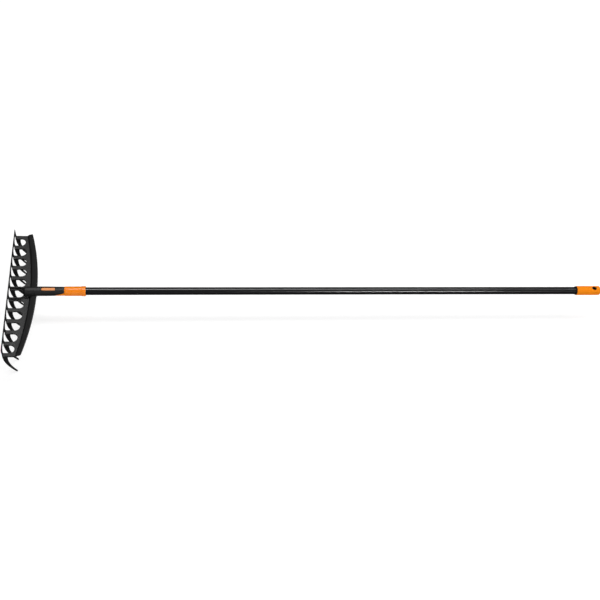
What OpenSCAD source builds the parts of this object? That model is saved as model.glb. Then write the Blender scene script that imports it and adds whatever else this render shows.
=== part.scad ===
// Long-handled rake with a quick-release head.
// +X runs from the head to the hanging end, +Y along the head, +Z up. The tines point down.
// The origin is on the ground that the tine tips touch, below the middle of the rake's box.
// Inside place(), x = 0 is the front of the head and z = 0 is the axis of the shaft.

/* [Overall] */
// Length from the front of the head to the end of the cap
total_length = 1820; // [1400:5:2000]

/* [Head] */
// Number of tines
tine_count = 12; // [8:1:14]
// Distance between the centres of two tines
tine_pitch = 38.25; // [36:0.25:42]
// Width of a tine, and of a bar of the plate, at the plate
tine_root_w = 12; // [10:1:13]
// Width of a tine at its tip
tine_tip_w = 5; // [3:0.5:6]
// Thickness of a tine, front to back, at the plate's top face
tine_root_t = 16; // [12:1:17]
// Thickness of a tine, front to back, at its tip
tine_tip_t = 5; // [3:0.5:6]
// Depth of the tine tips below the plate's top face
tine_drop = 90; // [80:1:100]
// Height of the shaft's axis above the plate's top face
axis_above_plate = 12; // [11.5:0.5:12.5]
// Thickness of the plate
plate_t = 5; // [4:0.5:5.5]
// Depth of the plate at its middle, from the rail's front face to the foot of the step
plate_depth = 59; // [56:0.5:62]
// Radius of the step's arc, seen from above
step_arc_r = 1000; // [900:10:1100]
// Depth of the head at its middle, from the rail's front face to the blade's rear edge
blade_depth = 81; // [78:0.5:84]
// Radius of the blade's rear edge, seen from above
blade_arc_r = 820; // [780:5:850]
// Height of the front rail above the plate's top face
rail_h = 32; // [28:1:36]
// Thickness of the front rail
rail_t = 2; // [1.5:0.5:3]

/* [Neck] */
// Distance from the front of the head to the blunt start of the neck
neck_start = 41.5; // [40:0.5:45]
// Radius of the neck over the plate
neck_r = 14; // [13.75:0.25:14.25]
// Radius of the neck at its rear face
neck_rear_r = 13.1; // [12.8:0.1:13.3]
// Distance from the front of the head to the neck's rear face
neck_end = 160.3; // [157:0.1:161]
// Radius of the neck's bore
neck_bore_r = 8.46; // [8.45:0.01:8.5]

/* [Coupling] */
// Radius of the spigot's shank
spigot_r = 8.4; // [8.3:0.05:8.4]
// Radius of the lock collar
collar_r = 14; // [13.6:0.1:14.2]
// Radius of the collar ring
collar_ring_r = 15; // [14.2:0.1:15.5]
// Mean radius of the collar spring
spring_r = 10.2; // [10:0.1:10.4]
// Wire diameter of the collar spring
spring_wire = 1.2; // [0.8:0.1:1.4]
// Number of turns of the collar spring
spring_turns = 6; // [4:1:8]

/* [Shaft] */
// Outer radius of the tube
tube_r = 11.5; // [11:0.5:11.5]
// Wall thickness of the tube
tube_wall = 1.3; // [1:0.1:1.3]

/* [End cap] */
// Radius of the end cap
cap_r = 14.4; // [14:0.1:15]
// Length of the end cap
cap_length = 77; // [74:1:80]
// Radius of the hanging bore in the end plug
hang_r = 5.75; // [4:0.25:6]

/* [Hidden] */
$fn = 64;
eps = 0.01;

black = [0.13, 0.13, 0.13];
satin_black = [0.07, 0.07, 0.075];
orange = [0.93, 0.45, 0.06];
steel = [0.62, 0.63, 0.65];

// Heights, with the shaft's axis at 0
plate_top = -axis_above_plate;
plate_bottom = plate_top - plate_t;
rail_top = plate_top + rail_h;
tip_level = plate_top - tine_drop;

// The head, seen from above
head_w = (tine_count - 1) * tine_pitch + tine_root_w;
window_w = tine_pitch - tine_root_w;
window_r = window_w / 2;
window_depth = 45.5;         // rear end of the middle windows
window_bow = 2600;           // the windows get shorter towards the ends, by y * y / window_bow
middle_window_depth = 41.5;  // the window in front of the neck is shorter
bar_depth = 18;              // the bars end here and the web begins
step_centre = plate_depth - step_arc_r;
blade_centre = blade_depth - blade_arc_r;

// The arches of the front rail
arch_r = window_w / 2;
arch_centre = plate_top + 6;
strip_bottom = arch_centre + 0.77 * arch_r;

// The tines curl back from this depth below the plate's top face
curl_start = 8;
curl = 0.0042;
tip_r = tine_tip_t / 2;
tine_steps = 12;

// The step and the blade behind it, in the plane that the arc sweeps round
step_w = 4.5;
step_h = 5.3;
blade_slope = 0.33;
blade_t = 4.5;
blade_reach = 30;         // longer than the blade is wide, before its rear edge is cut
blade_sweep = 40;         // degrees swept, more than the head is wide

// The ribs from the neck to the rail
rib_w = 4;
rib_h = 7;

// Where the collar's tongue parts from the neck: a slanting plane, seen from the side, with a blunt tip
tongue_tip_x = 134;
tongue_tip_z = -2.5;
tongue_top_z = 5.6;
tongue_core_r = 11;
tongue_gap = 0.2;

// Stations of the coupling along the shaft
bore_start = 94;
spigot_start = 95;
bead_x = 164;
bead_w = 4;
bead_r = 7.2;
finger_end = 171;
stop_x = 172;
stop_w = 1.2;
stop_groove_r = 7.6;
stop_ring_r = 9.6;
web_start = 173.5;
web_end = 177;
seat_x = 203;
tube_start = 205;
spigot_end = 240;
pin_x = 214;
pin_r = 2;
collar_end = 210;
collar_ring_end = 222;
running = 0.08;           // radial clearance of a sliding fit
press = 0.05;             // radial clearance left in a pressed joint

// The inlay and its pocket on top of the neck
inlay_x = 94.5;
inlay_l = 39.5;
inlay_w = 9.8;
inlay_corner_r = 2;
pocket_floor = 9.8;
inlay_t = 1;

// Stations of the hanging end
cap_start = total_length - cap_length;
cap_ring_w = 4;
cap_ring_r = 13.6;
cap_ring_cone = 1;        // length of the ring's tapered front
cap_edge_r = 3;
cap_end_wall = 5;
hang_x = total_length - 19.5;
hang_point = 11;          // distance from the hole's centre to the teardrop's point
plug_flat = 10;
hang_lead = 0.95;         // how much wider the cap's hole is than the bore in the plug
plug_start = cap_start + 6;
tube_end = total_length - 32;
cap_pin_x = cap_start + 9;
cap_pin_r = 1.6;
tube_bore_r = tube_r - tube_wall;
chamber_r = tube_r + 0.6; // bore of the collar behind its web

function tine_y(i) = (i - (tine_count + 1) / 2) * tine_pitch;
function window_y(i) = (i - tine_count / 2) * tine_pitch;
function window_end(y) = abs(y) < 1 ? middle_window_depth : window_depth - y * y / window_bow;
function tine_front(n) = n < curl_start ? 0 : curl * pow(n - curl_start, 2);
function tine_thick(n) = tine_tip_t + (tine_root_t - tine_tip_t) * pow(1 - n / tine_drop, 2);

module place() {
  translate([-total_length / 2, 0, -tip_level]) children();
}

// Extrudes a shape drawn in x and z along y, to both sides of y = 0
module across(width) {
  rotate([90, 0, 0]) linear_extrude(width, center = true) children();
}

// Extrudes a shape drawn in y and z along x
module along(from, to) {
  translate([from, 0, 0]) rotate([90, 0, 90]) linear_extrude(to - from) children();
}

// Turns a shape drawn in x and radius round the shaft's axis
module around() {
  rotate([0, 90, 0]) rotate_extrude() mirror([1, -1]) children();
}

// A ring or a disc round the shaft's axis
module ring(from, to, outer, inner = 0) {
  translate([from, 0, 0]) rotate([0, 90, 0]) difference() {
    cylinder(h = to - from, r = outer);
    if (inner > 0) translate([0, 0, -eps]) cylinder(h = to - from + 2 * eps, r = inner);
  }
}

module tine(i) {
  low = tine_drop - tip_r;
  depths = [for (k = [0:tine_steps]) plate_t + (low - plate_t) * k / tine_steps];
  front = [for (n = depths) [tine_front(n), plate_top - n]];
  rear = [for (k = [tine_steps:-1:0]) [tine_front(depths[k]) + tine_thick(depths[k]), plate_top - depths[k]]];
  root = tine_root_w / 2;
  tip = tine_tip_w / 2;
  color(black) place() translate([0, tine_y(i), 0]) intersection() {
    across(tine_root_w) union() {
      polygon(concat(front, rear));
      translate([tine_front(low) + tip_r, plate_top - low]) circle(tip_r, $fn = 32);
    }
    along(-1, plate_depth) polygon([[-root, plate_bottom], [root, plate_bottom],
                                    [tip, tip_level], [-tip, tip_level]]);
  }
}

// The plate's outline from above, up to the foot of the step
module plate_outline(from) {
  intersection() {
    translate([from, -head_w / 2]) square([plate_depth, head_w]);
    translate([step_centre, 0]) circle(step_arc_r, $fn = 400);
  }
}

module windows_outline() {
  for (i = [1:tine_count - 1]) {
    y = window_y(i);
    straight = window_end(y) - window_r;
    translate([-1, y - window_r]) square([straight + 1, window_w]);
    translate([straight, y]) circle(window_r);
  }
}

module plate_bars() {
  color(black) place() for (i = [1:tine_count])
    translate([0, tine_y(i) - tine_root_w / 2, plate_bottom]) cube([bar_depth, tine_root_w, plate_t]);
}

// The web behind the bars, one bay for each tine. The bays take turns between two nodes, so that they stay
// separate solids with simple shapes.
module plate_bays(first) {
  color(black) place() translate([0, 0, plate_bottom]) linear_extrude(plate_t) difference() {
    intersection() {
      plate_outline(bar_depth);
      for (i = [first:2:tine_count])
        translate([0, tine_y(i) - tine_pitch / 2]) square([plate_depth, tine_pitch]);
    }
    windows_outline();
  }
}

// The rail's face, drawn in y and z
module rail_face(bottom, top) {
  difference() {
    translate([-head_w / 2, bottom]) square([head_w, top - bottom]);
    for (i = [1:tine_count - 1]) {
      translate([window_y(i), arch_centre]) circle(arch_r);
      translate([window_y(i) - arch_r, plate_top - 1]) square([2 * arch_r, arch_centre - plate_top + 1]);
    }
  }
}

module rail_posts() {
  color(black) place() along(0, rail_t) rail_face(plate_top, strip_bottom);
}

module rail_strip() {
  color(black) place() along(0, rail_t) rail_face(strip_bottom, rail_top);
}

// The step and the blade, before they are cut to the head's outline
module blade_body() {
  rise = blade_slope * (blade_reach - step_w);
  translate([step_centre, 0, 0]) rotate(-blade_sweep / 2)
    rotate_extrude(angle = blade_sweep, $fn = 720) translate([step_arc_r, 0]) polygon([
      [0, plate_bottom],
      [step_w + 1, plate_top + step_h - blade_t],
      [blade_reach, plate_top + step_h + rise - blade_t],
      [blade_reach, plate_top + step_h + rise],
      [step_w, plate_top + step_h],
      [0, plate_top]]);
}

module levelling_blade() {
  color(black) place() intersection() {
    blade_body();
    translate([blade_centre, 0, plate_bottom - 1]) cylinder(h = rail_h, r = blade_arc_r, $fn = 720);
    translate([0, -head_w / 2, plate_bottom - 1]) cube([2 * blade_depth, head_w, rail_h]);
  }
}

// The neck's outer surface, as one solid of revolution
module neck_form() {
  round_r = 9;
  straight_end = 110;
  around() polygon(concat(
    [[neck_start, 0]],
    [for (a = [0:10:90]) [neck_start + round_r * (1 - cos(a)), neck_r - round_r * (1 - sin(a))]],
    [[straight_end, neck_r], [neck_end, neck_rear_r], [neck_end, 0]]));
}

// Everything below the slanting plane, with its front edge moved back by gap
module tongue_wedge(gap, end) {
  low = -neck_r - 1;
  across(4 * neck_r) polygon([[tongue_tip_x + gap, low], [tongue_tip_x + gap, tongue_tip_z],
                              [neck_end + gap, tongue_top_z], [end, tongue_top_z], [end, low]]);
}

module inlay_outline(grow) {
  c = inlay_corner_r;
  translate([inlay_x - grow, -inlay_w / 2 - grow]) {
    l = inlay_l + 2 * grow;
    w = inlay_w + 2 * grow;
    translate([c, 0]) square([l - 2 * c, w]);
    translate([0, c]) square([l, w - 2 * c]);
    for (x = [c, l - c], y = [c, w - c]) translate([x, y]) circle(c, $fn = 32);
  }
}

module neck() {
  color(black) place() difference() {
    neck_form();
    translate([0, -neck_r, plate_bottom]) cube([plate_depth + eps, 2 * neck_r, plate_t]);
    blade_body();
    ring(bore_start, neck_end + 1, neck_bore_r);
    intersection() {
      tongue_wedge(0, neck_end + 1);
      ring(tongue_tip_x - 1, neck_end + 1, neck_r + 2, tongue_core_r);
    }
    translate([0, 0, pocket_floor]) linear_extrude(neck_r) inlay_outline(0.6);
  }
}

module neck_ribs() {
  color(black) place() difference() {
    for (side = [-1, 1]) translate([0, 0, plate_top]) linear_extrude(rib_h) polygon([
      [rail_t, side * (tine_pitch / 2 - rib_w / 2)],
      [rail_t, side * (tine_pitch / 2 + rib_w / 2)],
      [33, side * (tine_pitch / 2 + rib_w / 2)],
      [56, side * 13],
      [56, side * 8],
      [33, side * (tine_pitch / 2 - rib_w / 2)]]);
    neck_form();
  }
}

module neck_fingers() {
  slot_w = 3;
  bead_gap = 0.25;
  color(black) place() difference() {
    union() {
      ring(neck_end, finger_end, tongue_core_r - 0.6, neck_bore_r);
      ring(bead_x + bead_gap, bead_x + bead_w - bead_gap, neck_bore_r + 1, bead_r + bead_gap);
    }
    for (turn = [45, 135]) rotate([turn, 0, 0])
      translate([neck_end - 1, -slot_w / 2, -neck_r]) cube([finger_end - neck_end + 2, slot_w, 2 * neck_r]);
  }
}

module neck_inlay() {
  color(orange) place() translate([0, 0, pocket_floor]) linear_extrude(inlay_t) inlay_outline(0);
}

module lock_collar() {
  front = neck_end + tongue_gap;
  land_r = tongue_core_r - 0.5;
  edge = 0.6;
  color(orange) place() union() {
    around() polygon([[front, land_r], [front, collar_r - edge], [front + edge, collar_r],
                      [collar_end, collar_r], [collar_end, chamber_r], [web_end, chamber_r],
                      [web_end, spigot_r + 0.2], [web_start, spigot_r + 0.2], [web_start, land_r]]);
    difference() {
      intersection() {
        tongue_wedge(tongue_gap, web_start);
        union() {
          neck_form();
          ring(neck_end - eps, front + 2, neck_rear_r);
        }
      }
      ring(tongue_tip_x - 2, front, tongue_core_r + tongue_gap);
      ring(front - eps, web_start + 1, land_r);
    }
  }
}

module collar_ring() {
  lip_w = 2.4;
  edge = 0.8;
  bore = tube_r + running;
  color(orange) place() around() polygon([
    [collar_end - lip_w, bore], [collar_end - lip_w, chamber_r - 0.1], [collar_end, chamber_r - 0.1],
    [collar_end, collar_ring_r - edge], [collar_end + edge, collar_ring_r],
    [collar_ring_end - edge, collar_ring_r], [collar_ring_end, collar_ring_r - edge],
    [collar_ring_end, bore]]);
}

// A round wire wound round the shaft's axis, one closed tube
module collar_spring() {
  sides = 8;
  per_turn = 14;
  rings = spring_turns * per_turn;
  first = web_end + spring_wire / 2 + 0.1;
  last = seat_x - spring_wire / 2 - 0.1;
  points = [for (k = [0:rings], s = [0:sides - 1])
    let (turn = 360 * k / per_turn, a = 360 * s / sides, r = spring_r + spring_wire / 2 * cos(a))
    [first + (last - first) * k / rings + spring_wire / 2 * sin(a), r * cos(turn), r * sin(turn)]];
  skin = [for (k = [0:rings - 1], s = [0:sides - 1])
    let (t = (s + 1) % sides) [k * sides + s, k * sides + t, (k + 1) * sides + t, (k + 1) * sides + s]];
  ends = [[for (s = [sides - 1:-1:0]) s], [for (s = [0:sides - 1]) rings * sides + s]];
  color(steel) place() polyhedron(points, concat(skin, ends));
}

module spigot() {
  nose = 2.5;
  color(satin_black) place() difference() {
    around() polygon([
      [spigot_start, 0], [spigot_start, spigot_r - nose], [spigot_start + nose, spigot_r],
      [bead_x, spigot_r], [bead_x, bead_r], [bead_x + bead_w, bead_r], [bead_x + bead_w, spigot_r],
      [stop_x, spigot_r], [stop_x, stop_groove_r], [stop_x + stop_w, stop_groove_r],
      [stop_x + stop_w, spigot_r], [tube_start, spigot_r], [tube_start, tube_bore_r - press],
      [spigot_end, tube_bore_r - press], [spigot_end, 0]]);
    translate([pin_x, 0, 0]) rotate([90, 0, 0]) cylinder(h = 3 * tube_r, r = pin_r, center = true);
  }
}

module spigot_pin() {
  color(steel) place() translate([pin_x, 0, 0]) rotate([90, 0, 0])
    cylinder(h = 2 * tube_r - 0.6, r = pin_r - 0.02, center = true);
}

module stop_ring() {
  gap_w = 5;
  color(steel) place() difference() {
    ring(stop_x + 0.1, stop_x + stop_w - 0.1, stop_ring_r, stop_groove_r + 0.05);
    translate([stop_x - 1, -gap_w / 2, 0]) cube([stop_w + 2, gap_w, 2 * stop_ring_r]);
  }
}

module spring_seat() {
  color(steel) place() ring(seat_x, tube_start, tube_r + 0.2, spigot_r + press);
}

module shaft_tube() {
  color(satin_black) place() difference() {
    ring(tube_start, tube_end, tube_r, tube_bore_r);
    translate([pin_x, 0, 0]) rotate([90, 0, 0]) cylinder(h = 3 * tube_r, r = pin_r, center = true);
    translate([cap_pin_x, 0, 0]) cylinder(h = 2 * tube_r, r = cap_pin_r + 0.02);
  }
}

module cap_ring() {
  lip = 0.6;
  start = cap_start - cap_ring_w;
  color(satin_black) place() around() polygon([
    [start, tube_r + press], [start, tube_r + lip], [start + cap_ring_cone, cap_ring_r],
    [cap_start, cap_ring_r], [cap_start, tube_r + press]]);
}

module teardrop_outline(r) {
  circle(r);
  polygon([[-hang_point, 0], [0, 0.85 * r], [0, -0.85 * r]]);
}

module end_cap() {
  edge = 0.8;
  inner = tube_r + press;
  color(orange) place() difference() {
    around() polygon(concat(
      [[cap_start, inner], [cap_start, cap_r - edge], [cap_start + edge, cap_r]],
      [for (a = [90:-15:0]) [total_length - cap_edge_r * (1 - cos(a)), cap_r - cap_edge_r * (1 - sin(a))]],
      [[total_length, 0], [total_length - cap_end_wall, 0], [total_length - cap_end_wall, inner]]));
    translate([hang_x, 0, -2 * cap_r]) linear_extrude(4 * cap_r) teardrop_outline(hang_r + hang_lead);
    translate([cap_pin_x, 0, 0]) cylinder(h = 2 * cap_r, r = cap_pin_r + 0.02);
  }
}

module end_plug() {
  color(satin_black) place() difference() {
    union() {
      ring(plug_start, tube_end + eps, tube_bore_r - press);
      intersection() {
        ring(tube_end, total_length - cap_end_wall - press, tube_r);
        translate([tube_end, -2 * tube_r, -plug_flat]) cube([cap_length, 4 * tube_r, 2 * plug_flat]);
      }
    }
    translate([hang_x, 0, 0]) cylinder(h = 3 * tube_r, r = hang_r, center = true);
    translate([cap_pin_x, 0, cap_r - 6]) cylinder(h = 2 * tube_r, r = cap_pin_r + 0.02);
  }
}

module cap_pin() {
  color(orange) place() translate([cap_pin_x, 0, cap_r - 6]) cylinder(h = 5.8, r = cap_pin_r);
}

for (i = [1:tine_count]) tine(i);
plate_bars();
plate_bays(1);  // bays_odd
plate_bays(2);  // bays_even
rail_posts();
rail_strip();
levelling_blade();
neck();
neck_ribs();
neck_fingers();
neck_inlay();
lock_collar();
collar_ring();
collar_spring();
spigot();
spigot_pin();
stop_ring();
spring_seat();
shaft_tube();
cap_ring();
end_cap();
end_plug();
cap_pin();
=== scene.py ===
"""Looks of the long-handled rake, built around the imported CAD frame.

Shapes are worked out in millimetres in the head's own frame, as in the CAD source: x = 0 is the front of
the head, z = 0 is the axis of the shaft. Curved mouldings are distance fields, meshed here on a grid."""

import math

import bpy
import numpy as np
from mathutils import Matrix, Vector


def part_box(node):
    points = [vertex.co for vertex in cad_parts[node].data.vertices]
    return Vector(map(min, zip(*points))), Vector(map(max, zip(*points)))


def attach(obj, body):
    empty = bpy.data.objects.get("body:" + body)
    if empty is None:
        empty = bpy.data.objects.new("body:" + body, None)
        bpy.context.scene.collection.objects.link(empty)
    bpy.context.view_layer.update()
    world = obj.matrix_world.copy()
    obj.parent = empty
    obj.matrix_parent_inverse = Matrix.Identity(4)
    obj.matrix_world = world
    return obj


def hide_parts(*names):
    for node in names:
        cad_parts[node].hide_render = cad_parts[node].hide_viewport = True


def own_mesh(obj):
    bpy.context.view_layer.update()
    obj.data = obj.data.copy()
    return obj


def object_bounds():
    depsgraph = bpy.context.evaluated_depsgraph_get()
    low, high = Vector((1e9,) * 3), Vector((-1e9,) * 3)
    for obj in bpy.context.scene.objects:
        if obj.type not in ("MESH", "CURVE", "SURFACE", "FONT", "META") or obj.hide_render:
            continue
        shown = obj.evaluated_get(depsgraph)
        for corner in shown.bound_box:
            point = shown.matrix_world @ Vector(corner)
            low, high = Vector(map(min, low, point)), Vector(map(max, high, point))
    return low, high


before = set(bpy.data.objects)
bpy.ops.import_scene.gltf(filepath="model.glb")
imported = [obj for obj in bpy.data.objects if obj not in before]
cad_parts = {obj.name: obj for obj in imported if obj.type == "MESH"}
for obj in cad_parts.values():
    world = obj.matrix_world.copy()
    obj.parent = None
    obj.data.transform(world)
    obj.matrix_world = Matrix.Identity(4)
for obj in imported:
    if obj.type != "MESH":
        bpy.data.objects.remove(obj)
cad_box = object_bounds()

MM = 0.001
FRONT_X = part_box("rail_strip")[0].x
TUBE_LOW, TUBE_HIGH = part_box("shaft_tube")
AXIS_Z = (TUBE_LOW.z + TUBE_HIGH.z) / 2
LENGTH = (cad_box[1][0] - cad_box[0][0]) / MM


def station(node, end):
    """Where a CAD node starts (end 0) or stops (end 1) along the shaft, in mm from the front of the head."""
    return (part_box(node)[end].x - FRONT_X) / MM


# ---------------------------------------------------------------- distance fields


def smin(a, b, k):
    """The nearer of two surfaces, with a fillet about k wide where they meet."""
    h = np.maximum(k - np.abs(a - b), 0) / k
    return np.minimum(a, b) - h * h * k / 4


def smax(a, b, k):
    """The overlap of two shapes, with the edge between them rounded over about k."""
    return -smin(-a, -b, k)


def graded(*stops):
    """Grid lines from the first stop to the last; each stop is (where, about how far apart from there on).

    The pieces' grids are moved by a small nudge, which keeps their lines off the flat faces."""
    out = []
    for (a, step), (b, _) in zip(stops, stops[1:]):
        out.extend(np.linspace(a, b, max(1, round((b - a) / step)), endpoint=False))
    return np.array(out + [stops[-1][0]])


def gradient(field, p, h):
    """The field's slope at each point, by differences h to either side."""
    out = np.empty_like(p)
    for axis in range(3):
        d = np.zeros(3)
        d[axis] = h
        out[:, axis] = field(*(p + d).T) - field(*(p - d).T)
    return out / (2 * h)


def settle(field, p, reach=0.4):
    """Moves points onto the field's surface, by at most reach in each of two rounds."""
    for _ in range(2):
        g = gradient(field, p, 0.05)
        step = g * (field(*p.T) / np.maximum((g * g).sum(1), 0.2))[:, None]
        size = np.linalg.norm(step, axis=1, keepdims=True)
        p = p - step * np.minimum(1, reach / np.maximum(size, 1e-9))
    return p


def surface(field, lines, skip=None):
    """Surface nets: the points and quads of the field's zero surface on a grid of lines.

    skip gives, for an x, the only range of y that has anything in it."""
    xs, ys, zs = lines
    f = np.full((len(xs), len(ys), len(zs)), 1.0, np.float32)
    for a in range(0, len(xs), 16):
        b = min(a + 16, len(xs))
        keep = slice(None)
        if skip is not None:
            low, high = skip(xs[a])
            keep = slice(int(np.searchsorted(ys, low)), int(np.searchsorted(ys, high)))
        f[a:b, keep] = field(xs[a:b, None, None], ys[None, keep, None], zs[None, None, :])
    inside = f < 0
    n = [len(xs) - 1, len(ys) - 1, len(zs) - 1]
    count = np.zeros(n, np.uint8)
    corners = [(i, j, k) for i in (0, 1) for j in (0, 1) for k in (0, 1)]
    for i, j, k in corners:
        count += inside[i : n[0] + i, j : n[1] + j, k : n[2] + k]
    cell = np.argwhere((count > 0) & (count < 8))
    number = np.full(n, -1, np.int64)
    number[tuple(cell.T)] = np.arange(len(cell))
    total = np.zeros((len(cell), 3))
    hits = np.zeros(len(cell))
    for axis in range(3):
        for i, j, k in corners:
            if (i, j, k)[axis]:
                continue
            c0 = cell + (i, j, k)
            c1 = c0.copy()
            c1[:, axis] += 1
            f0, f1 = f[tuple(c0.T)], f[tuple(c1.T)]
            cross = (f0 < 0) != (f1 < 0)
            t = np.where(cross, f0 / np.where(cross, f0 - f1, 1), 0)
            p0 = np.stack([xs[c0[:, 0]], ys[c0[:, 1]], zs[c0[:, 2]]], 1)
            p1 = np.stack([xs[c1[:, 0]], ys[c1[:, 1]], zs[c1[:, 2]]], 1)
            total += np.where(cross[:, None], p0 + (p1 - p0) * t[:, None], 0)
            hits += cross
    points = total / hits[:, None]
    quads = []
    for axis in range(3):
        u, v = [(1, 2), (2, 0), (0, 1)][axis]
        shape = [slice(1, -1)] * 3
        shape[axis] = slice(0, -1)
        other = list(shape)
        other[axis] = slice(1, None)
        a, b = inside[tuple(shape)], inside[tuple(other)]
        edge = np.argwhere(a != b)
        lower = np.ones(3, int)
        lower[axis] = 0
        at = edge + lower
        leaving = inside[tuple(at.T)]
        du, dv = np.zeros(3, int), np.zeros(3, int)
        du[u], dv[v] = 1, 1
        ring = [number[tuple((at - d).T)] for d in (du + dv, dv, 0 * du, du)]
        quad = np.stack(ring, 1)
        quad[~leaving] = quad[~leaving][:, ::-1]
        quads.append(quad)
    return points, np.concatenate(quads)


def place(p):
    """From mm in the head's frame to metres in the CAD frame."""
    return np.asarray(p) * MM + np.array([FRONT_X, 0, AXIS_Z])


def mesh_object(name, points, faces):
    """A smooth-shaded object; every face has the same number of corners."""
    mesh = bpy.data.meshes.new(name)
    mesh.vertices.add(len(points))
    mesh.vertices.foreach_set("co", np.asarray(points, np.float32).ravel())
    faces = np.asarray(faces)
    size = faces.shape[1]
    mesh.loops.add(faces.size)
    mesh.loops.foreach_set("vertex_index", faces.astype(np.int32).ravel())
    mesh.polygons.add(len(faces))
    mesh.polygons.foreach_set("loop_start", np.arange(0, faces.size, size, dtype=np.int32))
    mesh.update(calc_edges=True)
    mesh.validate()
    mesh.polygons.foreach_set("use_smooth", np.ones(len(mesh.polygons), bool))
    obj = bpy.data.objects.new(name, mesh)
    bpy.context.scene.collection.objects.link(obj)
    return obj


def moulding(name, field, lines, keep=1.0, skip=None, soft=0.12):
    """One closed moulded piece.

    keep is the share of its faces that stay after thinning the flat parts, and its shading is averaged over
    about soft mm."""
    points, quads = surface(field, lines, skip)
    points = settle(field, points)
    obj = mesh_object(name, place(points), quads)
    if keep < 1:
        thin = obj.modifiers.new("thin", "DECIMATE")
        thin.ratio = keep
        thin.use_collapse_triangulate = True
        deps = bpy.context.evaluated_depsgraph_get()
        mesh = bpy.data.meshes.new_from_object(obj.evaluated_get(deps))
        obj.modifiers.clear()
        old, obj.data = obj.data, mesh
        bpy.data.meshes.remove(old)
        mesh.name = name
    mesh = obj.data
    co = np.empty(len(mesh.vertices) * 3, np.float32)
    mesh.vertices.foreach_get("co", co)
    p = (co.reshape(-1, 3).astype(float) - place((0, 0, 0))) / MM
    p = settle(field, p, reach=0.2)
    mesh.vertices.foreach_set("co", place(p).astype(np.float32).ravel())
    n = gradient(field, p, soft)
    n /= np.maximum(np.linalg.norm(n, axis=1, keepdims=True), 1e-9)
    mesh.polygons.foreach_set("use_smooth", np.ones(len(mesh.polygons), bool))
    mesh.normals_split_custom_set_from_vertices(n.astype(np.float32))
    mesh.update()
    return obj


# ---------------------------------------------------------------- the head

PITCH = 38.25
HEAD_HALF = 216.375
PLATE_TOP, PLATE_BOTTOM = -12.0, -17.0
RAIL_T, RAIL_TOP, ARCH_Z = 2.0, 20.0, -6
WINDOW_R = (PITCH - 12) / 2
# Windows are numbered outwards from the middle one, which ends sooner because of the neck
LAST_WINDOW, WINDOW_END, WINDOW_BOW, MIDDLE_WINDOW_END = 5, 45.5, 2600, 41.5
# The step and the blade's rear edge are arcs about centres far in front of the head
STEP_R, STEP_CENTRE = 1000.0, -941.0
BLADE_R, BLADE_CENTRE = 820.0, -739.0
STEP_H, STEP_W, BLADE_SLOPE, BLADE_BOW = 5.3, 6.1, 0.42, 0.005
TOP_STEP, TOP_BEND, LOW_STEP, LOW_BEND, BEND_SOFTNESS = -0.8, 4.4, 0.4, 5.4, 5
THIN_BY, THIN_START, THIN_RUN = 1.5, 6, 16
TINE_DROP, TIP_T, ROOT_EXTRA_T = 90.0, 5, 11
CURL, CURL_START = 0.0042, 8
TINE_HALF_W, TINE_TAPER, TAPER_START = 6, 0.0425, 10
RIB_Y, RIB_HALF_T, RIB_H = 19.1, 2, 7
RIB_MIDDLE, RIB_HALF_L = 29, 28
RIB_BEND, RIB_BEND_RUN, RIB_BEND_IN = 33, 23, 8.6
NECK_NOSE_R = 9
NECK_START, NECK_R, NECK_STRAIGHT, NECK_END, NECK_REAR_R = 41.5, 14.0, 110.0, 160.3, 13.1
BORE_START, BORE_R = 94.0, 8.46
TONGUE_X, TONGUE_Z, TONGUE_TOP_Z = 134.0, -2.5, 5.6
CORE_R = 11.0
TONGUE_SLOPE = (TONGUE_TOP_Z - TONGUE_Z) / (NECK_END - TONGUE_X)
TONGUE_COS = 1 / math.hypot(1, TONGUE_SLOPE)
INLAY_X, INLAY_L, INLAY_W = 94.5, 39.5, 9.8
POCKET_FLOOR, POCKET_GAP = 9.8, 0.6


def neck_radius(x):
    """The neck's radius: even to begin with, then slightly smaller towards the collar."""
    t = np.clip((x - NECK_STRAIGHT) / (NECK_END - NECK_STRAIGHT), 0, 1)
    return NECK_R + (NECK_REAR_R - NECK_R) * t


def below_tongue_plane(x, z):
    """Negative below the slanting plane where the collar's blunt tongue parts from the neck."""
    return smax((z - TONGUE_Z - (x - TONGUE_X) * TONGUE_SLOPE) * TONGUE_COS, TONGUE_X - x, 3.0)


def rounded_box(x, y, half_x, half_y, r):
    """Distance outside a rectangle with corners of radius r."""
    a, b = np.abs(x) - half_x + r, np.abs(y) - half_y + r
    return np.hypot(np.maximum(a, 0), np.maximum(b, 0)) + np.minimum(np.maximum(a, b), 0) - r


def sheet_faces(u):
    """The plate, step and blade as one sheet: the heights and slopes of its two faces.

    u is the distance behind the step's arc."""

    def face(start, foot, bend):
        ramp = np.clip((u - start) / STEP_W, 0, 1)
        v = u - bend
        root = np.sqrt(v * v + BEND_SOFTNESS)
        run = (v + root) / 2
        height = foot + STEP_H * ramp * ramp * (3 - 2 * ramp) + (BLADE_SLOPE - BLADE_BOW * run) * run
        step_grade = STEP_H * 6 * ramp * (1 - ramp) / STEP_W
        blade_grade = (BLADE_SLOPE - 2 * BLADE_BOW * run) * (1 + v / root) / 2
        return height, step_grade + blade_grade

    top, top_grade = face(TOP_STEP, PLATE_TOP, TOP_BEND)
    low, low_grade = face(LOW_STEP, PLATE_BOTTOM, LOW_BEND)
    low = low + THIN_BY * np.clip((u - THIN_START) / THIN_RUN, 0, 1)
    return top, top_grade, low, low_grade


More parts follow.
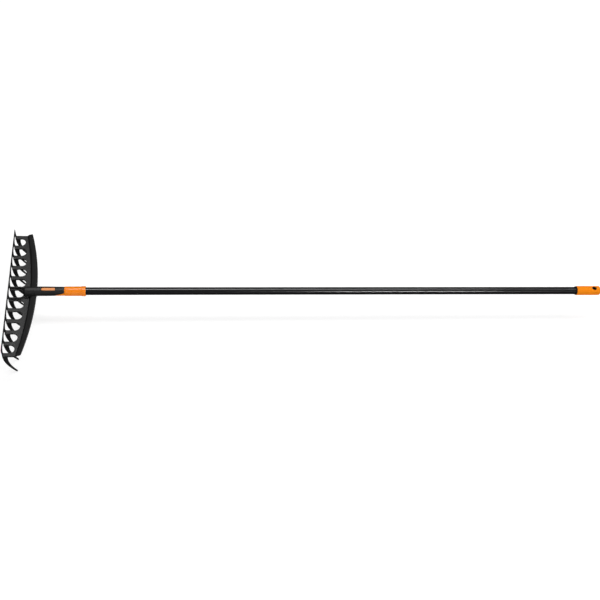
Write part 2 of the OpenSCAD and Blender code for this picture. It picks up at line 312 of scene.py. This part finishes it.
def head_field(x, y, z):
    """The whole head: sheet and windows, rail, tines, neck, ribs, and what is cut out of the neck."""
    ay = np.abs(y)
    window_n = np.minimum(np.round(ay / PITCH), LAST_WINDOW)
    window_y = ay - PITCH * window_n
    bowed_end = WINDOW_END - (PITCH * window_n) ** 2 / WINDOW_BOW
    window_end = np.where(window_n == 0, MIDDLE_WINDOW_END, bowed_end)

    u = np.hypot(x - STEP_CENTRE, y) - STEP_R
    top, top_grade, low, low_grade = sheet_faces(u)
    sheet = np.maximum((z - top) / np.sqrt(1 + top_grade**2), (low - z) / np.sqrt(1 + low_grade**2))
    rear = np.hypot(x - BLADE_CENTRE, y) - BLADE_R
    outline = smax(smax(rear, ay - HEAD_HALF, 2.5), -x, 1.0)
    sheet = smax(sheet, outline, 1.8)
    window = np.hypot(np.maximum(x - window_end + WINDOW_R, 0), window_y) - WINDOW_R
    sheet = smax(sheet, -window, 1.6)

    arch = np.hypot(window_y, np.maximum(z - ARCH_Z, 0)) - WINDOW_R
    rail = smax(np.abs(x - RAIL_T / 2) - RAIL_T / 2, np.maximum(z - RAIL_TOP, PLATE_BOTTOM + 1 - z), 1.0)
    rail = smax(smax(rail, ay - HEAD_HALF, 1.4), -arch, 1.0)
    head = smin(sheet, rail, 3.0)

    depth = PLATE_TOP - z
    d = np.clip(depth, 0, TINE_DROP + 4)
    past = np.maximum(d - CURL_START, 0)
    left = 1 - np.minimum(d, TINE_DROP) / TINE_DROP
    thick = TIP_T + ROOT_EXTRA_T * left**2
    middle = CURL * past**2 + thick / 2
    lean = 2 * CURL * past - ROOT_EXTRA_T * left / TINE_DROP
    half_w = TINE_HALF_W - TINE_TAPER * np.maximum(d - TAPER_START, 0)
    tine_y = np.mod(ay, PITCH) - PITCH / 2
    side = np.abs(tine_y) - half_w
    front = (np.abs(x - middle) - thick / 2) / np.sqrt(1 + lean**2)
    tine = smax(smax(side, front, 2.6), depth - TINE_DROP, 3.0)
    tine = np.maximum(tine, z - PLATE_TOP + 1.5)
    head = smin(head, tine, 3.0)

    r = np.hypot(y, z)
    a, b = r - neck_radius(x) + NECK_NOSE_R, NECK_START + NECK_NOSE_R - x
    neck = np.hypot(np.maximum(a, 0), np.maximum(b, 0)) + np.minimum(np.maximum(a, b), 0) - NECK_NOSE_R
    neck = smax(neck, x - NECK_END, 0.8)
    head = smin(head, neck, 5.0)

    t = np.clip((x - RIB_BEND) / RIB_BEND_RUN, 0, 1)
    slant = np.where(x > RIB_BEND, math.hypot(1, RIB_BEND_IN / RIB_BEND_RUN), 1)
    rib_y = (ay - (RIB_Y - RIB_BEND_IN * t)) / slant
    rib = smax(np.abs(rib_y) - RIB_HALF_T, np.abs(x - RIB_MIDDLE) - RIB_HALF_L, 1.0)
    rib = smax(rib, np.maximum(z - PLATE_TOP - RIB_H, PLATE_BOTTOM + 2 - z), 1.4)
    head = smin(head, rib, 2.5)
    head = smax(head, np.maximum(-x, ay - HEAD_HALF), 1.2)

    bore = np.maximum(r - BORE_R, BORE_START - x)
    head = smax(head, -bore, 0.7)
    recess = smax(below_tongue_plane(x, z), CORE_R - r, 0.5)
    head = smax(head, -recess, 0.6)
    pocket_l, pocket_w = INLAY_L / 2 + POCKET_GAP, INLAY_W / 2 + POCKET_GAP
    pocket = rounded_box(x - INLAY_X - INLAY_L / 2, y, pocket_l, pocket_w, 2.5)
    return smax(head, -np.maximum(pocket, POCKET_FLOOR - z), 0.5)


def build_head():
    """The head's one skin; behind the blade the grid is only as wide as the neck."""
    step = 1.0
    nudge = 0.0137
    behind_blade, neck_side = 85, 17
    half = graded((0, 0.7 * step), (neck_side, 0.95 * step), (HEAD_HALF + 2.3, 0))
    lines = (
        graded((-1.3 + nudge, 0.65 * step), (4, 1.0 * step), (83, 0.75 * step), (NECK_END + 1.4, 0)),
        np.concatenate([-half[:0:-1], half]) + nudge / 7,
        graded((-103.3 + nudge, 0.9 * step), (-97, 1.6 * step), (-22, 0.8 * step), (21.3, 0)),
    )
    return moulding(
        "rake_head",
        head_field,
        lines,
        keep=0.62,
        skip=lambda x: (-neck_side, neck_side) if x > behind_blade else (-2 * HEAD_HALF, 2 * HEAD_HALF),
    )


# ---------------------------------------------------------------- turned pieces


def fillet(profile, radii):
    """Rounds the corners of a closed profile of (x, r) points; radii has one number a corner."""
    out = []
    n = len(profile)
    steps = 5
    for i in range(n):
        p = np.array(profile[i], float)
        r = radii[i]
        if r <= 0:
            out.append(tuple(p))
            continue
        a = np.array(profile[i - 1], float) - p
        b = np.array(profile[(i + 1) % n], float) - p
        la, lb = np.linalg.norm(a), np.linalg.norm(b)
        a, b = a / la, b / lb
        cut = min(r, 0.48 * la, 0.48 * lb)
        s, e = p + a * cut, p + b * cut
        for k in range(steps + 1):
            t = k / steps
            out.append(tuple(s * (1 - t) ** 2 + 2 * p * t * (1 - t) + e * t * t))
    return out


def turned(name, profile, radii):
    """A closed profile of (x, radius) points in mm, turned round the shaft's axis."""
    segments = 96
    ring = fillet(profile, radii)
    n = len(ring)
    x = np.array([p[0] for p in ring])
    r = np.array([p[1] for p in ring])
    a = np.linspace(0, 2 * math.pi, segments, endpoint=False)
    points = np.stack(
        [
            np.broadcast_to(x, (segments, n)),
            np.cos(a)[:, None] * r,
            np.sin(a)[:, None] * r,
        ],
        -1,
    ).reshape(-1, 3)
    i = np.arange(segments)[:, None]
    j = np.arange(n)[None]
    i2, j2 = (i + 1) % segments, (j + 1) % n
    corners = np.broadcast_arrays(i * n + j, i * n + j2, i2 * n + j2, i2 * n + j)
    faces = np.stack(corners, -1).reshape(-1, 4)
    area = (x * np.roll(r, -1) - np.roll(x, -1) * r).sum()
    if area < 0:
        faces = faces[:, ::-1]
    obj = mesh_object(name, place(points), faces)
    sharpen(obj)
    return obj


def sharpen(obj):
    """Keeps the edges of a smooth-shaded object crisp where its faces meet at more than 35 degrees."""
    obj.data.set_sharp_from_angle(angle=math.radians(35))


# ---------------------------------------------------------------- the collar and the cap

COLLAR_R = 14.0
COLLAR_END = station("lock_collar", 1)
RING_END = station("collar_ring", 1)
COLLAR_START = NECK_END + 0.2
# A raised edge round the collar where its nose ends, with a groove behind it
EDGE_X, NOSE_FALL = 167.0, 0.4
RIDGE_H, RIDGE_W = 0.16, 0.9
GROOVE_OFFSET, GROOVE_DEPTH, GROOVE_W = 2.4, 0.22, 1.1
TONGUE_GAP, CORE_GAP, SHELL_LAP = 0.25, 0.3, 5
# Inside: a land round the neck's fingers, a web, and the chamber for the spring
LAND_R, LAND_END = 10.5, 173.5
WEB_R, WEB_END = 8.7, 177.0
CHAMBER_R = 12.1


def collar_field(x, y, z):
    """The collar's body with its tongue under the neck, hollowed out."""
    r = np.hypot(y, z)
    nose = np.clip((x - COLLAR_START) / (EDGE_X - COLLAR_START), 0, 1)
    outer = COLLAR_R - NOSE_FALL * (1 - nose)
    ridge = RIDGE_H * np.exp(-(((x - EDGE_X) / RIDGE_W) ** 2))
    groove = GROOVE_DEPTH * np.exp(-(((x - EDGE_X - GROOVE_OFFSET) / GROOVE_W) ** 2))
    body = smax(r - outer + groove - ridge, COLLAR_START - x, 0.7)
    body = smax(body, x - COLLAR_END, 0.3)
    shell = smax(r - neck_radius(x), below_tongue_plane(x - TONGUE_GAP, z), 0.7)
    shell = smax(shell, np.maximum(CORE_R + CORE_GAP - r, x - COLLAR_START - SHELL_LAP), 0.4)
    both = smin(body, shell, 0.8)
    land = np.maximum(r - LAND_R, x - LAND_END)
    web = r - WEB_R
    chamber = np.maximum(r - CHAMBER_R, WEB_END - x)
    hollow = np.minimum(np.minimum(np.maximum(land, COLLAR_START - 1 - x), web), chamber)
    tongue_hollow = np.maximum(r - CORE_R - CORE_GAP, x - COLLAR_START)
    return smax(both, -np.minimum(hollow, tongue_hollow), 0.4)


def build_collar():
    step = 0.6
    nudge = 0.011
    side = graded((-15.2, step), (15.2, 0)) + nudge
    along = graded((132 + nudge, step), (158, step * 0.6), (170, step), (COLLAR_END + 1, 0))
    return moulding("collar", collar_field, (along, side, side), keep=0.8)


CAP_START = station("end_cap", 0)
CAP_R, CAP_ROUND, CAP_BORE_R, CAP_WALL = 14.4, 4, 11.56, 5
PIN_OFFSET, PIN_HOLE_R, PIN_HOLE_FLOOR = 9, 1.75, 8
# The hanging hole: its centre, its radius and how far its point lies ahead of the centre
HANG_X, HANG_R, HANG_POINT = LENGTH - 19.5, 6.7, 11.0


def teardrop(x, y):
    """Distance outside the teardrop hole, whose point is towards the head."""
    ay = np.abs(y)
    sine = HANG_R / HANG_POINT
    cosine = math.sqrt(1 - sine * sine)
    ahead = HANG_X - x
    flank = sine * (ahead - HANG_POINT) + cosine * ay
    return np.where(ahead * cosine > ay * sine, flank, np.hypot(ahead, y) - HANG_R)


def cap_field(x, y, z):
    """The end cap: a round-ended cup with the hanging hole and the cap pin's hole."""
    r = np.hypot(y, z)
    a, b = r - CAP_R + CAP_ROUND, x - LENGTH + CAP_ROUND
    body = np.hypot(np.maximum(a, 0), np.maximum(b, 0)) + np.minimum(np.maximum(a, b), 0) - CAP_ROUND
    body = smax(body, CAP_START - x, 1.4)
    cavity = np.maximum(r - CAP_BORE_R, x - LENGTH + CAP_WALL)
    body = smax(body, -cavity, 0.4)
    body = smax(body, -teardrop(x, y), 1.1)
    pin_hole = np.hypot(x - CAP_START - PIN_OFFSET, y) - PIN_HOLE_R
    return smax(body, -np.maximum(pin_hole, PIN_HOLE_FLOOR - z), 0.4)


def build_cap():
    step = 0.6
    nudge = 0.013
    side = graded((-15.6, step), (15.6, 0)) + nudge
    fine, coarse = step * 0.8, step * 1.3
    along = graded((CAP_START - 1.2, fine), (CAP_START + 14, coarse), (HANG_X - 13, fine), (LENGTH + 1, 0))
    return moulding("end_cap_shell", cap_field, (along, side, side), keep=0.8)


TUBE_R = (TUBE_HIGH.z - TUBE_LOW.z) / 2 / MM


def build_collar_ring():
    """The raised ring that closes the collar, with a lip inside it and well rounded rims."""
    bore, lip, outer = TUBE_R + 0.08, TUBE_R + 0.5, 15.0
    lip_start = COLLAR_END - 2.4
    waist = (COLLAR_END + RING_END) / 2
    profile = [
        (lip_start, bore),
        (RING_END, bore),
        (RING_END, outer),
        (waist, outer - 0.12),
        (COLLAR_END, outer),
        (COLLAR_END, lip),
        (lip_start, lip),
    ]
    return turned("collar_rim", profile, (0, 0.5, 2.2, 4.0, 1.8, 0, 0.3))


def build_cap_ring():
    """The dark ring at the cap's mouth, coned down to the tube over its first millimetre."""
    start, cone = station("cap_ring", 0), 1
    bore, cone_r, front_r, rear_r = TUBE_R + 0.05, TUBE_R + 0.6, 13.55, 13.6
    profile = [
        (start, bore),
        (CAP_START, bore),
        (CAP_START, rear_r),
        (start + cone, front_r),
        (start, cone_r),
    ]
    return turned("cap_mouth", profile, (0.2, 0, 0.2, 1.0, 0.4))


SPRING_R, WIRE_R, TURNS, CLOSED_PITCH, SPRING_GAP = 10.2, 0.6, 6, 1.24, 0.05
SEAT_START = station("spring_seat", 0)


def build_spring():
    """Round wire in closed end turns and open middle turns, between the collar's web and the seat."""
    per_turn, sides = 48, 12
    first, last = WEB_END + WIRE_R + SPRING_GAP, SEAT_START - WIRE_R - SPRING_GAP
    open_pitch = (last - first - 2 * CLOSED_PITCH) / (TURNS - 2)
    turn = np.linspace(0, TURNS, TURNS * per_turn + 1)
    run = [first, first + CLOSED_PITCH, last - CLOSED_PITCH, last]
    x = np.interp(turn, [0, 1, TURNS - 1, TURNS], run)
    pitches = [CLOSED_PITCH, open_pitch, open_pitch, CLOSED_PITCH]
    pitch = np.interp(turn, [0.8, 1.2, TURNS - 1.2, TURNS - 0.8], pitches)
    lean = np.arctan(pitch / (2 * math.pi * SPRING_R))[:, None]
    a = 2 * math.pi * turn[:, None]
    b = np.linspace(0, 2 * math.pi, sides, endpoint=False)[None]
    r = SPRING_R + WIRE_R * np.cos(b)
    along, aside = WIRE_R * np.sin(b) * np.cos(lean), WIRE_R * np.sin(b) * np.sin(lean)
    points = np.stack(
        [x[:, None] + along, r * np.cos(a) + aside * np.sin(a), r * np.sin(a) - aside * np.cos(a)], -1
    ).reshape(-1, 3)
    faces = []
    for k in range(TURNS * per_turn):
        for j in range(sides):
            j2 = (j + 1) % sides
            faces.append([k * sides + j, k * sides + j2, (k + 1) * sides + j2, (k + 1) * sides + j])
    end = TURNS * per_turn * sides
    for j in range(1, sides - 2, 2):
        faces.append([j + 2, j + 1, j, 0])
        faces.append([end, end + j, end + j + 1, end + j + 2])
    obj = mesh_object("return_spring", place(points), faces)
    sharpen(obj)
    return obj


INLAY_H, INLAY_CROWN, INLAY_INSET = 0.98, 0.006, 0.05
PANEL_MARGIN, PANEL_SLOPE_W, PANEL_DEPTH = 1.5, 0.5, 0.14


def inlay_field(x, y, z):
    """A slightly crowned plate with a soft rim and a shallow panel sunk in it."""
    half_l, half_w = INLAY_L / 2 - INLAY_INSET, INLAY_W / 2 - INLAY_INSET
    outline = rounded_box(x - INLAY_X - INLAY_L / 2, y, half_l, half_w, 2.0)
    panel = np.clip((outline + PANEL_MARGIN) / PANEL_SLOPE_W, 0, 1)
    sunk = PANEL_DEPTH * (1 - panel * panel * (3 - 2 * panel))
    top = POCKET_FLOOR + INLAY_H - INLAY_CROWN * y * y - sunk
    return smax(smax(outline, z - top, 0.7), POCKET_FLOOR + 0.02 - z, 0.15)


def build_inlay():
    step = 0.4
    nudge = 0.007
    low = POCKET_FLOOR - 0.4
    lines = (
        graded((INLAY_X - 0.6 + nudge, step), (INLAY_X + INLAY_L + 0.7, 0)),
        graded((-INLAY_W / 2 - 0.6 + nudge, step), (INLAY_W / 2 + 0.7, 0)),
        graded((low + nudge, step * 0.6), (low + 2, 0)),
    )
    return moulding("inlay_plate", inlay_field, lines, soft=0.05)


# ---------------------------------------------------------------- materials


def material(name):
    """An empty node material: the material, its tree and its shader."""
    mat = bpy.data.materials.new(name)
    mat.use_nodes = True
    tree = mat.node_tree
    tree.nodes.clear()
    out = tree.nodes.new("ShaderNodeOutputMaterial")
    shader = tree.nodes.new("ShaderNodeBsdfPrincipled")
    tree.links.new(shader.outputs[0], out.inputs[0])
    return mat, tree, shader


def node(tree, kind, inputs=None, **settings):
    """A shader node, with each input linked to a socket or set to a value."""
    n = tree.nodes.new("ShaderNode" + kind)
    for key, value in settings.items():
        setattr(n, key, value)
    for key, value in (inputs or {}).items():
        if isinstance(value, bpy.types.NodeSocket):
            tree.links.new(value, n.inputs[key])
        else:
            n.inputs[key].default_value = value
    return n


def spots(tree, scale, detail=2.0, rough=0.5, stretch=(1, 1, 1)):
    """Noise over the object's own coordinates; scale is in features a metre."""
    coords = node(tree, "TexCoord")
    mapping = node(tree, "Mapping", {"Vector": coords.outputs["Object"], "Scale": stretch})
    inputs = {"Vector": mapping.outputs[0], "Scale": scale, "Detail": detail, "Roughness": rough}
    return node(tree, "TexNoise", inputs).outputs["Fac"]


def span(tree, value, low, high, to_low, to_high):
    """Maps low..high to to_low..to_high, and clamps."""
    inputs = {"Value": value, "From Min": low, "From Max": high, "To Min": to_low, "To Max": to_high}
    return node(tree, "MapRange", inputs).outputs["Result"]


def shades(tree, value, dark, light):
    """A colour between dark and light."""
    mix = node(tree, "Mix", data_type="RGBA")
    tree.links.new(value, mix.inputs["Factor"])
    mix.inputs["A"].default_value = (*dark, 1)
    mix.inputs["B"].default_value = (*light, 1)
    return mix.outputs["Result"]


def moulded_plastic(
    name, color, rough, grain=0.00004, grain_scale=2600, spread=0.12, painted_edge_highlight=0.25, specular=0.5
):
    """Injection-moulded plastic: a fine etched grain, soft flow marks, and convex edges painted a little
    lighter as a painted highlight.

    grain is the grain's height in metres, grain_scale its features a metre, spread how far the colour varies
    either way, and painted_edge_highlight how far the edges go towards the lighter colour of the painted
    highlight."""
    mat, tree, shader = material(name)
    flow = spots(tree, 22, 3, 0.55, (1, 0.35, 1))
    fleck = spots(tree, grain_scale * 0.5, 2, 0.6)
    parts = {0: span(tree, flow, 0.3, 0.7, 0, 0.6), 1: span(tree, fleck, 0.35, 0.65, 0, 0.4)}
    tone = node(tree, "Math", parts, operation="ADD")
    dark, light = [c * (1 - spread) for c in color], [min(1, c * (1 + spread)) for c in color]
    base = shades(tree, tone.outputs[0], dark, light)
    geometry = node(tree, "NewGeometry")
    # Convex edges, found by their pointiness, are mixed towards a lighter colour: a painted highlight on the
    # edges.
    edge = span(tree, geometry.outputs["Pointiness"], 0.52, 0.62, 0, painted_edge_highlight)
    mix = node(tree, "Mix", data_type="RGBA")
    tree.links.new(edge, mix.inputs["Factor"])
    tree.links.new(base, mix.inputs["A"])
    mix.inputs["B"].default_value = (*[min(1, c * 1.6 + 0.02) for c in color], 1)
    tree.links.new(mix.outputs["Result"], shader.inputs["Base Color"])
    smears = spots(tree, 60, 4, 0.6)
    tree.links.new(span(tree, smears, 0.3, 0.7, rough - 0.06, rough + 0.08), shader.inputs["Roughness"])
    shader.inputs["Specular IOR Level"].default_value = specular
    grain_map = spots(tree, grain_scale, 3, 0.65)
    bump = node(tree, "Bump", {"Height": grain_map, "Strength": 1.0, "Distance": grain})
    tree.links.new(bump.outputs[0], shader.inputs["Normal"])
    return mat


def coated_tube(name, color):
    """Satin powder coat on a drawn tube: orange peel, with faint marks along the shaft."""
    mat, tree, shader = material(name)
    streaks = spots(tree, 420, 4, 0.6, (0.012, 1, 1))
    peel = spots(tree, 1100, 2, 0.5)
    tone = span(tree, streaks, 0.35, 0.65, 0, 1)
    base = shades(tree, tone, [c * 0.82 for c in color], [c * 1.25 for c in color])
    tree.links.new(base, shader.inputs["Base Color"])
    tree.links.new(span(tree, streaks, 0.3, 0.7, 0.28, 0.36), shader.inputs["Roughness"])
    shader.inputs["Specular IOR Level"].default_value = 0.2
    shader.inputs["Coat Weight"].default_value = 0.65
    shader.inputs["Coat Roughness"].default_value = 0.15
    bump = node(tree, "Bump", {"Height": peel, "Strength": 0.15, "Distance": 0.00003})
    tree.links.new(bump.outputs[0], shader.inputs["Normal"])
    return mat


def drawn_steel(name):
    """Bright steel with fine lines along the shaft."""
    mat, tree, shader = material(name)
    lines = spots(tree, 900, 5, 0.7, (0.2, 1, 1))
    base = shades(tree, span(tree, lines, 0.3, 0.7, 0, 1), (0.42, 0.43, 0.45), (0.66, 0.66, 0.67))
    tree.links.new(base, shader.inputs["Base Color"])
    shader.inputs["Metallic"].default_value = 1.0
    tree.links.new(span(tree, lines, 0.3, 0.7, 0.26, 0.42), shader.inputs["Roughness"])
    bump = node(tree, "Bump", {"Height": lines, "Strength": 0.4, "Distance": 0.00002})
    tree.links.new(bump.outputs[0], shader.inputs["Normal"])
    return mat


bright = {"grain": 0.00002, "grain_scale": 1900, "painted_edge_highlight": 0.12}
fine_black = {"grain": 0.00002, "grain_scale": 2200, "spread": 0.15}
head_black = moulded_plastic("head_plastic", (0.0115, 0.0115, 0.0117), 0.5, specular=0.45)
collar_orange = moulded_plastic(
    "collar_plastic", (0.77, 0.195, 0.002), 0.29, spread=0.06, specular=0.55, **bright
)
cap_orange = moulded_plastic("cap_plastic", (0.69, 0.189, 0.002), 0.5, spread=0.05, specular=0.07, **bright)
inlay_orange = moulded_plastic("inlay_plastic", (0.72, 0.26, 0.07), 0.4, spread=0.08, **bright)
insert_black = moulded_plastic("insert_plastic", (0.016, 0.016, 0.017), 0.45, painted_edge_highlight=0.2, **fine_black)
ring_black = moulded_plastic(
    "ring_plastic", (0.008, 0.006, 0.005), 0.6, painted_edge_highlight=0.1, specular=0.12, **fine_black
)
shaft_black = coated_tube("shaft_coat", (0.007, 0.007, 0.0075))
steel = drawn_steel("spring_steel")


def dress(obj, mat, body=None, replaced=()):
    """Gives a piece its material and its body, and hides the CAD nodes that it stands for."""
    obj.data.materials.clear()
    obj.data.materials.append(mat)
    if body:
        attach(obj, body)
    if replaced:
        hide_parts(*replaced)
    return obj


# ---------------------------------------------------------------- pieces

tines = sorted(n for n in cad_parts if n.startswith("tine_"))
plate = ["plate_bars", "bays_odd", "bays_even", "rail_posts", "rail_strip", "levelling_blade"]
dress(build_head(), head_black, "head", tines + plate + ["neck", "neck_ribs"])
dress(build_collar(), collar_orange, "collar", ["lock_collar"])
dress(build_cap(), cap_orange, "handle", ["end_cap"])
dress(build_collar_ring(), collar_orange, "collar", ["collar_ring"])
dress(build_cap_ring(), ring_black, "handle", ["cap_ring"])
dress(build_inlay(), inlay_orange, "head", ["neck_inlay"])
spring = dress(build_spring(), steel, "collar", ["collar_spring"])
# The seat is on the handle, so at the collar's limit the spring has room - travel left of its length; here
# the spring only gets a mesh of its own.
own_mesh(spring)

for name, mat in {
    "neck_fingers": head_black,
    "spigot": insert_black,
    "spigot_pin": steel,
    "stop_ring": steel,
    "spring_seat": steel,
    "shaft_tube": shaft_black,
    "end_plug": insert_black,
    "cap_pin": cap_orange,
}.items():
    dress(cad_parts[name], mat)

# ---------------------------------------------------------------- stage, lights and camera


def soft_light(name, at, target, size, power, glossy=True, diffuse=True):
    """A rectangular lamp aimed at target; it can be left out of reflections or out of diffuse light."""
    lamp = bpy.data.lights.new(name, "AREA")
    lamp.shape = "RECTANGLE"
    lamp.size, lamp.size_y = size
    lamp.energy = power
    obj = bpy.data.objects.new(name, lamp)
    obj.location = at
    obj.rotation_euler = (Vector(target) - Vector(at)).to_track_quat("-Z", "Y").to_euler()
    obj.visible_glossy, obj.visible_diffuse = glossy, diffuse
    bpy.context.scene.collection.objects.link(obj)


def build_floor():
    """Pale paper that glows a little, so that it reads as white."""
    half = 14.0
    n = 8
    grid = np.linspace(-half, half, n + 1)
    points = np.array([[x, y, 0] for y in grid for x in grid])
    faces = [
        [j * (n + 1) + i, j * (n + 1) + i + 1, (j + 1) * (n + 1) + i + 1, (j + 1) * (n + 1) + i]
        for j in range(n)
        for i in range(n)
    ]
    floor = mesh_object("floor", points, faces)
    mat, tree, shader = material("floor_paper")
    tone = span(tree, spots(tree, 3, 3), 0.3, 0.7, 0, 1)
    pale = shades(tree, tone, (0.245, 0.245, 0.245), (0.255, 0.255, 0.255))
    tree.links.new(pale, shader.inputs["Base Color"])
    shader.inputs["Roughness"].default_value = 0.9
    shader.inputs["Specular IOR Level"].default_value = 0.1
    shader.inputs["Emission Color"].default_value = (1, 1, 1, 1)
    shader.inputs["Emission Strength"].default_value = 0.8
    floor.data.materials.append(mat)
    floor.visible_glossy = False


def build_backdrop():
    """A pale wall far round the floor, which only the camera sees."""
    radius, height, segments = 13.0, 14.0, 96
    a = np.linspace(0, 2 * math.pi, segments, endpoint=False)
    rim = np.stack([radius * np.cos(a), radius * np.sin(a)], -1)
    points = [[x, y, z] for z in (-0.01, height) for x, y in rim]
    following = [(i + 1) % segments for i in range(segments)]
    faces = [[i, i + segments, j + segments, j] for i, j in enumerate(following)]
    wall = mesh_object("backdrop", points, faces)
    mat, tree, shader = material("backdrop_paper")
    tone = span(tree, spots(tree, 0.3, 2), 0.3, 0.7, 0, 1)
    pale = shades(tree, tone, (0.87, 0.87, 0.87), (0.89, 0.89, 0.89))
    tree.links.new(pale, shader.inputs["Emission Color"])
    shader.inputs["Emission Strength"].default_value = 1.0
    shader.inputs["Base Color"].default_value = (0, 0, 0, 1)
    shader.inputs["Specular IOR Level"].default_value = 0.0
    wall.data.materials.append(mat)
    wall.visible_diffuse = wall.visible_glossy = wall.visible_shadow = False


build_floor()
build_backdrop()
soft_light("key", (0.1, 0.95, 3.0), (0.05, 0, 0.1), (3.0, 0.6), 84)
soft_light("side", (2.4, 0.3, 2.3), (-0.85, 0, 0.1), (1.2, 1.2), 30)
soft_light("front", (1.05, -2.7, 1.75), (0.9, 0, 0.1), (1.1, 0.14), 44, diffuse=False)
soft_light("fill", (0.0, -2.0, 0.5), (0.0, 0, 0.12), (2.8, 0.6), 23, glossy=False)
world = bpy.data.worlds.new("studio")
world.use_nodes = True
world.node_tree.nodes["Background"].inputs["Color"].default_value = (1, 1, 1, 1)
world.node_tree.nodes["Background"].inputs["Strength"].default_value = 0.35
world.cycles_visibility.glossy = False
bpy.context.scene.world = world
bpy.context.scene.view_settings.view_transform = "Standard"

# Where the camera stands, in mm in the head's frame, and its right and forward directions
CAMERA_AT = (480.8, -1658.5, 2380.4)
CAMERA_RIGHT = Vector((0.99153, -0.07541, 0.10597))
CAMERA_FORWARD = Vector((0.13008, 0.55897, -0.81884))
lens = bpy.data.cameras.new("camera")
lens.sensor_width = 36.0
lens.lens = 57.6
lens.clip_end = 50
camera = bpy.data.objects.new("camera", lens)
forward = CAMERA_FORWARD.normalized()
right = (CAMERA_RIGHT - forward * CAMERA_RIGHT.dot(forward)).normalized()
up = right.cross(forward)
turn = Matrix((right, up, -forward)).transposed().to_4x4()
camera.matrix_world = Matrix.Translation(place(CAMERA_AT)) @ turn
bpy.context.scene.collection.objects.link(camera)
bpy.context.scene.camera = camera
